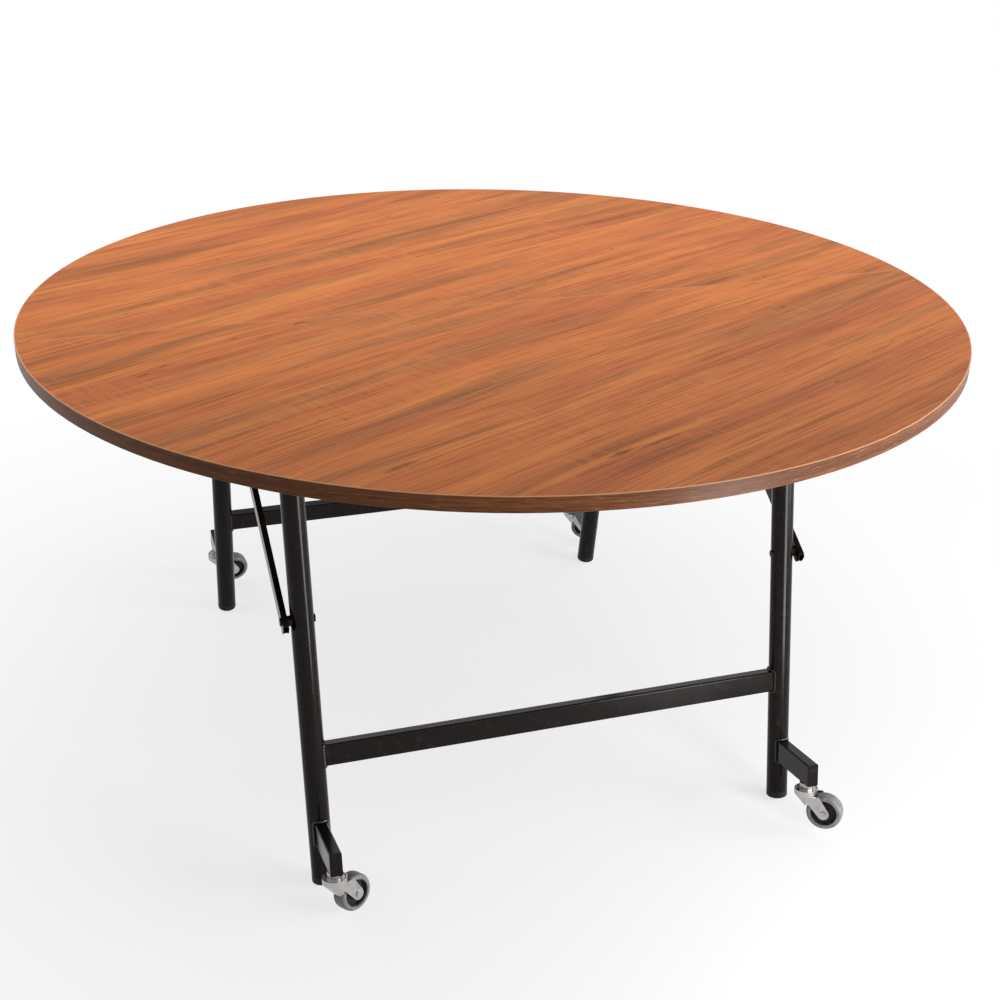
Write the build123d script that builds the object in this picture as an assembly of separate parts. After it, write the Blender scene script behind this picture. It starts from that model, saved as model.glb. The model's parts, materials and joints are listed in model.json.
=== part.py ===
from build123d import *
from math import asin, atan2, cos, degrees, hypot, radians, sin
import os

# Round folding banquet table on casters, in millimetres.
# Two half-round tops meet at a seam and hang from bolts under it. Each half stands on its own
# H-frame of round tube, pivoted under the half. A pair of link braces ties each frame to the
# opposite half, so lifting the seam folds both halves down and swings both frames upright.
# The origin is on the floor under the middle of the top. X runs across the seam and "front" is
# +X. Y runs along the seam and "left" is -Y. Z is up.

# Top
top_diameter = 1524.0
table_height = 750.0
board_thickness = 22.0
laminate_thickness = 1.0
edge_band_thickness = 1.6
edge_band_bevel = 0.6
seam_gap = 0.6

# Leg frames: round posts, one crossbar, and an arm for a caster at each post
leg_lean_deg = 9.8
pivot_from_seam = 339.0
pivot_depth = 28.0
frame_off_centre = -28.0
post_spacing = 779.0
post_radius = 17.5
post_wall = 1.5
post_above_pivot = 14.0
tube_corner_radius = 2.5
tube_wall = 1.5
crossbar_height = 35.0
crossbar_depth = 20.0
crossbar_up_post = 212.0
arm_height = 38.0
arm_width = 19.0
arm_reach = 121.5
arm_up_post = 88.5
foot_cap_height = 12.0
foot_cap_rounding = 3.0
foot_cap_insert = 20.0

# Link braces: flat oblong tubes, outside the front posts and inside the back posts
brace_width = 20.0
brace_thickness = 9.0
brace_wall = 1.2
brace_end_radius = 7.0
brace_past_post_bolt = 18.0
brace_past_top_pin = 14.0
brace_bolt_below_pivot = 277.0
brace_gap = 5.0
brace_pin_depth = 28.0

# Frames under each half
rail_inside_post = 74.5
rail_width = 30.0
rail_depth = 20.0
rail_from_seam = 14.0
rail_end = 560.0
cross_rail_width = 20.0
inner_cross_rail_x = 70.0
outer_cross_rail_x = 540.0

# Seam hinges: a dropped leaf on each rail and one bolt through both leaves
hinge_depth = 50.0
leaf_thickness = 4.0
leaf_eye_radius = 14.0
leaf_length = 86.0
leaf_gap = 0.4

# Leg brackets: folded sheet, a base under the board and a cheek each side of the post
bracket_sheet = 3.0
bracket_length = 74.0
bracket_flange = 18.0
bracket_eye_radius = 13.0
cheek_clearance = 0.5

# Brace brackets: a flange under the board and one lug beside the brace
lug_thickness = 4.0
lug_eye_radius = 12.0
lug_length = 44.0
lug_flange = 20.0
lug_clearance = 0.4

# Bolts
pivot_bolt_radius = 5.0
brace_bolt_radius = 4.0
running_clearance = 0.05
washer_face_gap = 0.2
hex_across_share = 3.3
head_height_share = 1.25
nut_height_share = 1.5
bolt_tip_share = 0.5
spacer_radius = 8.0
rivet_head_radius = 6.5
rivet_head_height = 2.5
domed_head_height = 1.8
domed_head_rounding = 1.5

# Swivel casters, measured from the axle up
wheel_radius = 29.0
wheel_width = 23.0
tyre_shoulder_radius = 5.0
tyre_shoulder_steps = 4
tyre_inner_radius = 21.5
tyre_lip_depth = 2.0
hub_web_width = 12.0
hub_boss_radius = 8.0
hub_rim_thickness = 2.5
hub_side_gap = 1.0
fork_inside_width = 27.0
fork_sheet = 2.0
fork_wheel_gap = 2.0
fork_corner_radius = 13.0
fork_axle_radius = 9.5
fork_crown_rise = 31.0
fork_crown_radius = 19.0
fork_lip_height = 4.0
fork_shoulder_rise = 28.0
fork_front_reach = 18.5
fork_back_reach = 24.5
caster_trail = 31.0
axle_up_post = 22.0
stem_from_post = 101.5
kingpin_radius = 6.0
kingpin_rivet_radius = 8.0
kingpin_rivet_height = 1.5
race_gap = 0.4
race_radius = 15.5
race_height = 3.0
stem_collar_radius = 11.0
stem_radius = 4.0
stem_nut_height = 6.5
stem_nut_radius = 6.5
stem_tip = 3.0
axle_radius = 4.0
axle_head_radius = 5.0
axle_head_height = 2.5

# Each caster's heading as it stands, from straight out towards +Y
caster_heading_deg = {"front_left": 120.0, "front_right": 50.0, "back_left": 85.0, "back_right": 114.0}

cut_overrun = 10.0

# Sizes that follow
top_radius = top_diameter / 2
top_thickness = board_thickness + laminate_thickness
underside = table_height - top_thickness
lean = radians(leg_lean_deg)
pivot_height = underside - pivot_depth
# The leaning cap stands on its rounded rim, so the foot's middle is a little off the floor.
foot_height = (post_radius - foot_cap_rounding) * sin(lean) + foot_cap_rounding * (1 - cos(lean))
leg_length = (pivot_height - foot_height) / cos(lean)
foot_x = pivot_from_seam + leg_length * sin(lean)
post_centre = post_spacing / 2
rail_centre = post_centre - rail_inside_post
hinge_height = underside - hinge_depth
bolt_up_post = leg_length - brace_bolt_below_pivot
bolt_x = foot_x - bolt_up_post * sin(lean)
bolt_height = foot_height + bolt_up_post * cos(lean)
arm_bottom = arm_up_post - arm_height / 2
fork_outside = fork_inside_width / 2 + fork_sheet
# The fork's front wall runs down beside the front edges of its cheeks, which touch the round end.
cheek_front = fork_corner_radius - fork_front_reach
cheek_slope = atan2(fork_shoulder_rise, caster_trail - cheek_front) + asin(
    fork_axle_radius / hypot(fork_shoulder_rise, caster_trail - cheek_front)
)

# The top pin's place past the seam keeps the brace as long folded as it is in use.
folded_reach = pivot_from_seam + brace_bolt_below_pivot
folded_offset = 2 * hinge_depth - pivot_depth - brace_pin_depth
pin_height = underside - brace_pin_depth
brace_pin_past_seam = (
    folded_reach**2 + folded_offset**2 - bolt_x**2 - (pin_height - bolt_height) ** 2
) / (2 * (folded_reach + bolt_x))
brace_length = hypot(bolt_x + brace_pin_past_seam, pin_height - bolt_height)
brace_rise_deg = degrees(atan2(pin_height - bolt_height, bolt_x + brace_pin_past_seam))

SIDES = {"left": -1, "right": 1}
ENDS = {"front": 1, "back": -1}
LOW = (Align.CENTER, Align.CENTER, Align.MIN)
HIGH = (Align.CENTER, Align.CENTER, Align.MAX)


def brace_layer(end, distance):
    """Distance from the middle of the frame, this far out of the post on the brace's side."""
    return post_centre + ENDS[end] * (post_radius + distance)


def solids_of(*pieces):
    return [solid for piece in pieces for solid in piece.solids()]


def save(node, *pieces):
    """Write one node, as one solid or as a group of separate solids."""
    solids = solids_of(*pieces)
    export_step(solids[0] if len(solids) == 1 else Compound(solids), f"parts/{node}.step")


def at_end(end, piece):
    """Keep a piece made for the front half, or mirror it across the seam for the back."""
    return piece if end == "front" else mirror(piece, about=Plane.YZ)


def on_leg(end, piece):
    """Carry a piece from the upright leg frame, foot at the origin, to its leaning place."""
    return at_end(end, Pos(foot_x, frame_off_centre, foot_height) * Rot(0, -leg_lean_deg, 0) * piece)


def rod(radius, start, stop):
    """Round bar along Y."""
    return Pos(0, (start + stop) / 2, 0) * Rot(90, 0, 0) * Cylinder(radius, abs(stop - start))


def hex_bar(radius, start, stop):
    """Hexagon bar along Y, sized for a bolt of this radius."""
    hexagon = RegularPolygon(radius * hex_across_share / 2, 6, major_radius=False)
    length = abs(stop - start)
    return Pos(0, (start + stop) / 2, 0) * extrude(Plane.XZ * hexagon, amount=length / 2, both=True)


def domed_head(face, out):
    """Low round head along Y on this face, rounded at its rim. It reaches out by +1 or -1."""
    head = rod(rivet_head_radius, face, face + out * domed_head_height)
    rim = head.edges().sort_by(Axis.Y)[-1 if out > 0 else 0]
    return fillet(rim, domed_head_rounding)


def bolt_with_nut(radius, head_face, nut_face):
    """Hex bolt along Y and its nut, bearing on the two faces given."""
    way = 1 if head_face > nut_face else -1
    nut_end = nut_face - way * radius * nut_height_share
    shank = rod(radius, nut_end - way * radius * bolt_tip_share, head_face)
    head = hex_bar(radius, head_face, head_face + way * radius * head_height_share)
    nut = hex_bar(radius, nut_end, nut_face) - rod(radius, nut_end, nut_face)
    return [shank + head, nut]


def oblong_tube(length, width, height, wall=tube_wall):
    """Rectangular tube along X from the origin, its width in Y and its height in Z."""
    outer = RectangleRounded(width, height, tube_corner_radius)
    inner = RectangleRounded(width - 2 * wall, height - 2 * wall, tube_corner_radius - wall)
    return extrude(Plane.YZ * (outer - inner), amount=length)


def eye_plate(eye, eye_radius, flat_start, flat_stop, flat_level, thickness, bore):
    """Flat plate in XZ that narrows from a straight edge to a round eye with a bore."""
    ring = Pos(*eye) * Circle(eye_radius)
    edge = Edge.make_line((flat_start, flat_level), (flat_stop, flat_level))
    outline = make_hull([*ring.edges(), edge]) - Pos(*eye) * Circle(bore)
    return extrude(Plane.XZ * outline, amount=thickness / 2, both=True)


# Tops

def half_round(radius, from_seam, height):
    """Half disc with its straight side at this distance from the seam."""
    disc = Cylinder(radius, height, align=LOW)
    side = Box(radius, 2 * radius, height, align=(Align.MIN, Align.CENTER, Align.MIN))
    return disc & Pos(from_seam, 0, 0) * side


def board(end):
    shape = half_round(top_radius - edge_band_thickness, seam_gap / 2 + edge_band_thickness, board_thickness)
    return at_end(end, Pos(0, 0, underside) * shape)


def laminate(end):
    inset = edge_band_thickness
    shape = half_round(top_radius - inset, seam_gap / 2 + inset, laminate_thickness)
    return at_end(end, Pos(0, 0, underside + board_thickness) * shape)


def edge_band(end):
    """Strip glued all round the half, with its outer corners eased."""
    inset = edge_band_thickness
    outer = half_round(top_radius, seam_gap / 2, top_thickness)
    rim_edges = outer.edges().filter_by(GeomType.CIRCLE)
    outer = chamfer(rim_edges, edge_band_bevel)
    inner = half_round(top_radius - inset, seam_gap / 2 + inset, top_thickness)
    return at_end(end, Pos(0, 0, underside) * (outer - inner))


# Frames under the tops

def rail(end, side):
    """Tube under the half, square to the seam."""
    tube = oblong_tube(rail_end - rail_from_seam, rail_width, rail_depth)
    y = frame_off_centre + SIDES[side] * rail_centre
    return at_end(end, Pos(rail_from_seam, y, underside - rail_depth / 2) * tube)


def cross_rail(end, x):
    """Tube between the two rails, along the seam."""
    span = 2 * rail_centre - rail_width
    tube = Rot(0, 0, 90) * oblong_tube(span, cross_rail_width, rail_depth)
    return at_end(end, Pos(x, frame_off_centre - span / 2, underside - rail_depth / 2) * tube)


def hinge_leaf(end, side):
    """Plate under the rail that drops to the hinge bolt. The back one runs on the bolt."""
    bore = pivot_bolt_radius + (0 if end == "front" else running_clearance)
    flat = (rail_from_seam, rail_from_seam + leaf_length, underside - rail_depth)
    leaf = eye_plate((0, hinge_height), leaf_eye_radius, *flat, leaf_thickness, bore)
    y = frame_off_centre + SIDES[side] * rail_centre + ENDS[end] * (leaf_thickness + leaf_gap) / 2
    return at_end(end, Pos(0, y, 0) * leaf)


def hinge_bolt(side):
    """Bolt and nut through both leaves, headed on the front leaf."""
    y = frame_off_centre + SIDES[side] * rail_centre
    head_face = leaf_thickness + leaf_gap / 2
    parts = bolt_with_nut(pivot_bolt_radius, head_face, -head_face - washer_face_gap)
    return [Pos(0, y, hinge_height) * part for part in parts]


def leg_bracket(end, side):
    """Base plate under the board with a cheek on each side of the post."""
    half_gap = post_radius + cheek_clearance
    width = 2 * (half_gap + bracket_sheet + bracket_flange)
    base_x = pivot_from_seam
    base = Pos(base_x, 0, underside) * Box(bracket_length, width, bracket_sheet, align=HIGH)
    flat = (base_x - bracket_length / 2, base_x + bracket_length / 2, underside - bracket_sheet / 2)
    cheek = eye_plate(
        (base_x, pivot_height), bracket_eye_radius, *flat, bracket_sheet, pivot_bolt_radius
    )
    offset = half_gap + bracket_sheet / 2
    shape = base + Pos(0, offset, 0) * cheek + Pos(0, -offset, 0) * cheek
    return at_end(end, Pos(0, frame_off_centre + SIDES[side] * post_centre, 0) * shape)


def pivot_bolt(end, side):
    """Bolt and nut across a leg bracket, headed on the outer side."""
    reach = post_radius + cheek_clearance + bracket_sheet
    y = frame_off_centre + SIDES[side] * post_centre
    parts = bolt_with_nut(pivot_bolt_radius, SIDES[side] * reach, -SIDES[side] * reach)
    return [at_end(end, Pos(pivot_from_seam, y, pivot_height) * part) for part in parts]


def brace_bracket(end, side):
    """Lug and flange under the opposite half, for the brace of the frame at this end."""
    lug_near = brace_gap + brace_thickness + lug_clearance
    lug_y = brace_layer(end, lug_near + lug_thickness / 2)
    far = brace_layer(end, lug_near + lug_thickness)
    flat = (brace_pin_past_seam - lug_length / 2, brace_pin_past_seam + lug_length / 2)
    level = underside - bracket_sheet / 2
    eye = (brace_pin_past_seam, pin_height)
    lug = eye_plate(eye, lug_eye_radius, *flat, level, lug_thickness, brace_bolt_radius)
    flange = Box(lug_length, lug_flange, bracket_sheet, align=HIGH)
    flange_y = far + ENDS[end] * (lug_flange / 2 - lug_thickness)
    shape = Pos(0, SIDES[side] * lug_y, 0) * lug
    shape += Pos(brace_pin_past_seam, SIDES[side] * flange_y, underside) * flange
    opposite = "back" if end == "front" else "front"
    return at_end(opposite, Pos(0, frame_off_centre, 0) * shape)


def bracket_rivet(end, side):
    """Rivet through the lug for the brace of the frame at this end, headed on the far side."""
    way = SIDES[side]
    lug_near = brace_gap + brace_thickness + lug_clearance
    near = way * brace_layer(end, lug_near)
    far = way * brace_layer(end, lug_near + lug_thickness)
    head = way * brace_layer(end, lug_near + lug_thickness + rivet_head_height)
    rivet = rod(brace_bolt_radius, near, far) + rod(rivet_head_radius, far, head)
    opposite = "back" if end == "front" else "front"
    return at_end(opposite, Pos(brace_pin_past_seam, frame_off_centre, pin_height) * rivet)


# Leg frames, built upright with the post along Z and the outside towards +X

def post(end, side):
    """Round tube with cross holes for the pivot bolt and the brace bolt."""
    length = leg_length + post_above_pivot - foot_cap_height
    tube = Cylinder(post_radius, length, align=LOW) - Cylinder(post_radius - post_wall, length, align=LOW)
    tube = Pos(0, 0, foot_cap_height) * tube
    reach = post_radius + cut_overrun
    tube -= Pos(0, 0, leg_length) * rod(pivot_bolt_radius + running_clearance, -reach, reach)
    tube -= Pos(0, 0, bolt_up_post) * rod(brace_bolt_radius, -reach, reach)
    return on_leg(end, Pos(0, SIDES[side] * post_centre, 0) * tube)


def post_envelope(y):
    return Pos(0, y, 0) * Cylinder(post_radius, leg_length, align=LOW)


def crossbar(end):
    """Oblong tube between the posts, its ends cut to their curve."""
    tube = Rot(0, 0, 90) * oblong_tube(post_spacing, crossbar_depth, crossbar_height)
    tube = Pos(0, -post_centre, crossbar_up_post) * tube
    return on_leg(end, tube - post_envelope(-post_centre) - post_envelope(post_centre))


def caster_arm(end, side):
    """Oblong tube out of the post, closed at its outer end, with a hole for the stem."""
    y = SIDES[side] * post_centre
    outside = extrude(Plane.YZ * RectangleRounded(arm_width, arm_height, tube_corner_radius), arm_reach)
    hollow = RectangleRounded(
        arm_width - 2 * tube_wall, arm_height - 2 * tube_wall, tube_corner_radius - tube_wall
    )
    tube = Pos(0, y, arm_up_post) * (outside - extrude(Plane.YZ * hollow, arm_reach - tube_wall))
    drill = Pos(stem_from_post, y, arm_bottom) * Cylinder(stem_radius, 2 * tube_wall)
    return on_leg(end, tube - post_envelope(y) - drill)


def foot_cap(end, side):
    """Moulded cap pushed into the foot of the post, with a rounded bottom to stand on."""
    head = Cylinder(post_radius, foot_cap_height, align=LOW)
    head = fillet(head.edges().group_by(Axis.Z)[0], foot_cap_rounding)
    insert = Pos(0, 0, foot_cap_height) * Cylinder(post_radius - post_wall, foot_cap_insert, align=LOW)
    return on_leg(end, Pos(0, SIDES[side] * post_centre, 0) * (head + insert))


def brace_bolt(end, side):
    """Round-headed bolt through brace and post, riveted over on the post, and its spacer."""
    way = SIDES[side]
    out = way * ENDS[end]
    middle = way * post_centre
    tail_face = middle - out * post_radius
    head_face = way * brace_layer(end, brace_gap + brace_thickness + washer_face_gap)
    ring_stop = way * brace_layer(end, brace_gap - washer_face_gap)
    # What bears on the post is cut to its round.
    envelope = Pos(0, 0, -bolt_up_post) * post_envelope(middle)
    tail = domed_head(tail_face, -out) + rod(rivet_head_radius, middle, tail_face)
    spacer = rod(spacer_radius, middle, ring_stop) - rod(brace_bolt_radius, middle, ring_stop)
    bolt = rod(brace_bolt_radius, tail_face, head_face) + domed_head(head_face, out)
    parts = [bolt + (tail - envelope), spacer - envelope]
    return [on_leg(end, Pos(0, 0, bolt_up_post) * part) for part in parts]


# Braces

def brace(end, side):
    """Flat tube from the post bolt to the opposite half, with a rivet pin at its top end."""
    full = brace_past_post_bolt + brace_length + brace_past_top_pin
    middle = full / 2 - brace_past_post_bolt
    outline = RectangleRounded(full, brace_width, brace_end_radius)
    bar = extrude(Plane.XZ * outline, amount=brace_thickness / 2, both=True)
    bar -= Box(full + cut_overrun, brace_thickness - 2 * brace_wall, brace_width - 2 * brace_wall)
    bar = Pos(middle, 0, 0) * bar
    half = brace_thickness / 2
    bar -= rod(brace_bolt_radius + running_clearance, -half, half)
    bar -= Pos(brace_length, 0, 0) * rod(brace_bolt_radius, -half, half)
    out = ENDS[end] * SIDES[side]
    pin = rod(brace_bolt_radius, -out * half, out * (half + lug_clearance / 2))
    pin += rod(rivet_head_radius, -out * half, -out * (half + rivet_head_height))
    y = frame_off_centre + SIDES[side] * brace_layer(end, brace_gap + half)
    place = Pos(bolt_x, y, bolt_height) * Rot(0, 180 + brace_rise_deg, 0)
    return [at_end(end, place * bar), at_end(end, place * Pos(brace_length, 0, 0) * pin)]


# Casters, built with the stem's axis on Z, the axle at z = 0 and the wheel trailing towards +X

def on_caster(end, side, piece):
    """Carry a piece from the caster's own place to its heading at the end of the arm."""
    heading = caster_heading_deg[f"{end}_{side}"]
    place = Pos(stem_from_post, SIDES[side] * post_centre, axle_up_post)
    return on_leg(end, place * Rot(0, 0, heading) * piece)


def caster_stem(end, side):
    """Kingpin, upper race, collar and threaded stem, with its nut inside the arm."""
    race_base = fork_crown_rise + fork_sheet + race_gap
    arm_seat = arm_bottom - axle_up_post
    inside = arm_seat + tube_wall
    pin_foot = fork_crown_rise - kingpin_rivet_height - race_gap
    outline = [
        (0, pin_foot),
        (kingpin_rivet_radius, pin_foot),
        (kingpin_rivet_radius, fork_crown_rise - race_gap),
        (kingpin_radius, fork_crown_rise - race_gap),
        (kingpin_radius, race_base),
        (race_radius, race_base),
        (race_radius, race_base + race_height),
        (stem_collar_radius, race_base + race_height),
        (stem_collar_radius, arm_seat),
        (stem_radius, arm_seat),
        (stem_radius, inside + stem_nut_height + stem_tip),
        (0, inside + stem_nut_height + stem_tip),
    ]
    stem = revolve(Plane.XZ * make_face(Polyline(outline, close=True)), Axis.Z)
    nut = extrude(RegularPolygon(stem_nut_radius, 6, major_radius=False), stem_nut_height)
    nut -= Cylinder(stem_radius, stem_nut_height, align=LOW)
    nut = Pos(0, 0, inside) * nut
    return [on_leg(end, Pos(stem_from_post, SIDES[side] * post_centre, axle_up_post) * part)
            for part in (stem, nut)]


def fork_cheeks():
    """The fork's two plates, which taper from the crown down to a round end about the axle."""
    top = Edge.make_line((cheek_front, fork_shoulder_rise), (fork_back_reach, fork_shoulder_rise))
    eye = Pos(caster_trail, 0) * Circle(fork_axle_radius)
    outline = make_hull([top, *eye.edges()])
    plates = extrude(Plane.XZ * outline, amount=fork_outside, both=True)
    return plates - extrude(Plane.XZ * outline, amount=fork_inside_width / 2, both=True)


def fork_front():
    """The fork's wall in front of the wheel, with wide round corners, slanting with the cheeks."""
    depth = 2 * fork_corner_radius
    low_x = (Align.MIN, Align.CENTER)
    outside = Rectangle(depth, 2 * fork_outside, align=low_x)
    outside = fillet(outside.vertices().group_by(Axis.X)[0], fork_corner_radius)
    inside = Rectangle(depth, fork_inside_width, align=low_x)
    inside = fillet(inside.vertices().group_by(Axis.X)[0], fork_corner_radius - fork_sheet)
    bend = Pos(-fork_front_reach, 0, fork_shoulder_rise) * (outside - Pos(fork_sheet, 0) * inside)
    wall = extrude(bend, amount=caster_trail, dir=(cos(cheek_slope), 0, -sin(cheek_slope)))
    return wall - Pos(caster_trail, 0, 0) * rod(wheel_radius + fork_wheel_gap, -fork_outside, fork_outside)


def fork_crown():
    """Round crown with a raised lip, hollow underneath between the cheeks."""
    crown_top = fork_crown_rise + fork_sheet
    inner_radius = fork_crown_radius - fork_sheet
    height = crown_top + fork_lip_height - fork_shoulder_rise
    drum = Pos(0, 0, fork_shoulder_rise) * Cylinder(fork_crown_radius, height, align=LOW)
    drum -= Pos(0, 0, crown_top) * Cylinder(inner_radius, fork_lip_height, align=LOW)
    under_height = fork_crown_rise - fork_shoulder_rise
    under = Cylinder(inner_radius, under_height, align=LOW)
    under &= Box(2 * inner_radius, fork_inside_width, under_height, align=LOW)
    return drum - Pos(0, 0, fork_shoulder_rise) * under


def caster_fork(end, side):
    """Pressed fork: the crown, the front wall and the two cheeks, with room for the wheel."""
    half_inside = fork_inside_width / 2
    fork = fork_crown() + fork_front() + fork_cheeks()
    fork -= Pos(caster_trail, 0, 0) * rod(wheel_radius + fork_wheel_gap, -half_inside, half_inside)
    fork -= Pos(0, 0, fork_crown_rise) * Cylinder(kingpin_radius + running_clearance, 2 * fork_lip_height)
    fork -= Pos(caster_trail, 0, 0) * rod(axle_radius, -fork_outside, fork_outside)
    return on_caster(end, side, fork)


def caster_axle(end, side):
    """Riveted axle with a low head on each cheek."""
    pin = rod(axle_radius, -fork_outside, fork_outside)
    for way in (-1, 1):
        pin += rod(axle_head_radius, way * fork_outside, way * (fork_outside + axle_head_height))
    return on_caster(end, side, Pos(caster_trail, 0, 0) * pin)


def turned(outline):
    """Solid of revolution about the axle from points of radius and distance along Y."""
    profile = make_face(Polyline([(radius, along) for radius, along in outline], close=True))
    return Pos(caster_trail, 0, 0) * revolve(Plane.XY * profile, Axis.Y)


def caster_tyre(end, side):
    """Rubber tread with rounded shoulders, gripping the hub's rim."""
    half = wheel_width / 2
    flat = wheel_radius - tyre_shoulder_radius
    turns = [step * 90 / tyre_shoulder_steps for step in range(tyre_shoulder_steps + 1)]
    shoulder = [
        (flat + tyre_shoulder_radius * cos(radians(turn)), half - tyre_shoulder_radius * (1 - sin(radians(turn))))
        for turn in turns
    ]
    far_side = [(radius, -along) for radius, along in shoulder]
    outline = [(tyre_inner_radius, -half), *reversed(far_side), *shoulder, (tyre_inner_radius, half)]
    return on_caster(end, side, turned(outline))


def caster_hub(end, side):
    """Moulded wheel centre: a rim, a thin web and a boss that runs on the axle."""
    rim = wheel_width / 2 - tyre_lip_depth
    web = hub_web_width / 2
    boss = fork_inside_width / 2 - hub_side_gap
    bore = axle_radius + running_clearance
    inner = tyre_inner_radius - hub_rim_thickness
    outline = [
        (bore, -boss), (hub_boss_radius, -boss), (hub_boss_radius, -web), (inner, -web),
        (inner, -rim), (tyre_inner_radius, -rim), (tyre_inner_radius, rim), (inner, rim),
        (inner, web), (hub_boss_radius, web), (hub_boss_radius, boss), (bore, boss),
    ]
    return on_caster(end, side, turned(outline))


def build():
    os.makedirs("parts", exist_ok=True)
    for end in ENDS:
        save(f"{end}_board", board(end))
        save(f"{end}_laminate", laminate(end))
        save(f"{end}_edge_band", edge_band(end))
        save(f"{end}_inner_cross_rail", cross_rail(end, inner_cross_rail_x))
        save(f"{end}_outer_cross_rail", cross_rail(end, outer_cross_rail_x))
        save(f"{end}_hinge_leaves", *[hinge_leaf(end, side) for side in SIDES])
        save(f"{end}_leg_brackets", *[leg_bracket(end, side) for side in SIDES])
        opposite = "back" if end == "front" else "front"
        rivets = [bracket_rivet(opposite, side) for side in SIDES]
        save(f"{end}_pivot_bolts", *[part for side in SIDES for part in pivot_bolt(end, side)], *rivets)
        save(f"{end}_brace_brackets", *[brace_bracket(opposite, side) for side in SIDES])
        save(f"{end}_crossbar", crossbar(end))
        save(f"{end}_foot_caps", *[foot_cap(end, side) for side in SIDES])
        save(f"{end}_brace_bolts", *[part for side in SIDES for part in brace_bolt(end, side)])
        save(f"{end}_caster_stems", *[part for side in SIDES for part in caster_stem(end, side)])
        for side in SIDES:
            save(f"{end}_{side}_rail", rail(end, side))
            save(f"{end}_{side}_post", post(end, side))
            save(f"{end}_{side}_caster_arm", caster_arm(end, side))
            save(f"{end}_{side}_brace", *brace(end, side))
            save(f"{end}_{side}_caster_fork", caster_fork(end, side))
            save(f"{end}_{side}_caster_axle", caster_axle(end, side))
            save(f"{end}_{side}_caster_hub", caster_hub(end, side))
            save(f"{end}_{side}_caster_tyre", caster_tyre(end, side))
    save("seam_hinge_bolts", *[part for side in SIDES for part in hinge_bolt(side)])


build()
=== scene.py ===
"""Looks for a round folding banquet table: wood-print tops on black steel frames with casters."""

import json
import math
import random
from typing import NamedTuple

import bmesh
import bpy
from bpy.props import FloatProperty, FloatVectorProperty, PointerProperty
from bpy.types import Operator, Panel, PropertyGroup
from mathutils import Euler, Matrix, Vector


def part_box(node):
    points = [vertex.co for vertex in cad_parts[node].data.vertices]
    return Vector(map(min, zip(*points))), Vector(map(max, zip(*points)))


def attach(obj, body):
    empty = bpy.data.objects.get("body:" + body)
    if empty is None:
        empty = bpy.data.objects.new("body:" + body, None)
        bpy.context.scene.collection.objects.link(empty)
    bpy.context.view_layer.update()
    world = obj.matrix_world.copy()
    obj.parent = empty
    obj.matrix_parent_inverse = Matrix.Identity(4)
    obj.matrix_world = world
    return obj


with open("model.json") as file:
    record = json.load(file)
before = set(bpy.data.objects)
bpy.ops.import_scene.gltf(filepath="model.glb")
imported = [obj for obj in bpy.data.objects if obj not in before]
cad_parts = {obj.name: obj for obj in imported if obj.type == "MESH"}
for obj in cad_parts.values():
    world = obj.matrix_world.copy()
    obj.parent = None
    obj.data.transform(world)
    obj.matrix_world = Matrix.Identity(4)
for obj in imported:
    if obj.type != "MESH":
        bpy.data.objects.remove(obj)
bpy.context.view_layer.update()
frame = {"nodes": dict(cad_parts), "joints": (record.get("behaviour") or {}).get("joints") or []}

bl_info = {
    "name": "Folding banquet table",
    "version": (1, 0, 0),
    "blender": (4, 5, 0),
    "location": "View3D > Sidebar > Table",
    "description": "Dresses the packed folding table with its finishes, welds, screws and studio",
    "category": "Object",
}

MM = 0.001
ENDS = {"front": 1, "back": -1}
SIDES = {"left": -1, "right": 1}


def linear(hex_colour):
    """An sRGB hex colour as the linear RGB that shaders take."""
    channels = [int(hex_colour[i:i + 2], 16) / 255 for i in (1, 3, 5)]
    return tuple(c / 12.92 if c <= 0.04045 else ((c + 0.055) / 1.055) ** 2.4 for c in channels)


# Places read from the frame, in metres

def middle(node):
    """The middle of a CAD node's box."""
    low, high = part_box(node)
    return (low + high) / 2


def joint_place(name):
    """Where a joint's axis stands at rest."""
    return next(Vector(joint["pos_m"]) for joint in frame["joints"] if joint["name"] == name)


TABLE_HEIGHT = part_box("front_laminate")[1].z
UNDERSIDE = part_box("front_board")[0].z
TOP_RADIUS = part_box("front_edge_band")[1].x
FRAME_MIDDLE = middle("front_crossbar").y
PIVOT = joint_place("front_leg_fold")
POST_RADIUS = (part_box("front_left_post")[1].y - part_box("front_left_post")[0].y) / 2
POST_CENTRE = (middle("front_right_post").y - middle("front_left_post").y) / 2
RAIL_CENTRE = (middle("front_right_rail").y - middle("front_left_rail").y) / 2
RAIL_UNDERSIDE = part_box("front_left_rail")[0].z

# Sizes of the leg frames' solids, repeated for the weld beads laid on them
LEAN = math.radians(9.8)
FOOT_ROUNDING = 3 * MM
FOOT_HEIGHT = (POST_RADIUS - FOOT_ROUNDING) * math.sin(LEAN) + FOOT_ROUNDING * (1 - math.cos(LEAN))
FOOT_X = PIVOT.x + (PIVOT.z - FOOT_HEIGHT) * math.tan(LEAN)
TUBE_CORNER = 2.5 * MM
CROSSBAR_SECTION = (20 * MM, 35 * MM)
CROSSBAR_UP_POST = 212 * MM
ARM_SECTION = (19 * MM, 38 * MM)
ARM_UP_POST = 88.5 * MM

# Sizes of the brackets' solids, repeated for the screws through them
BRACKET_SHEET = 3 * MM
LUG_THICKNESS = 4 * MM
LUG_FREE_FLANGE = 16 * MM


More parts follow.
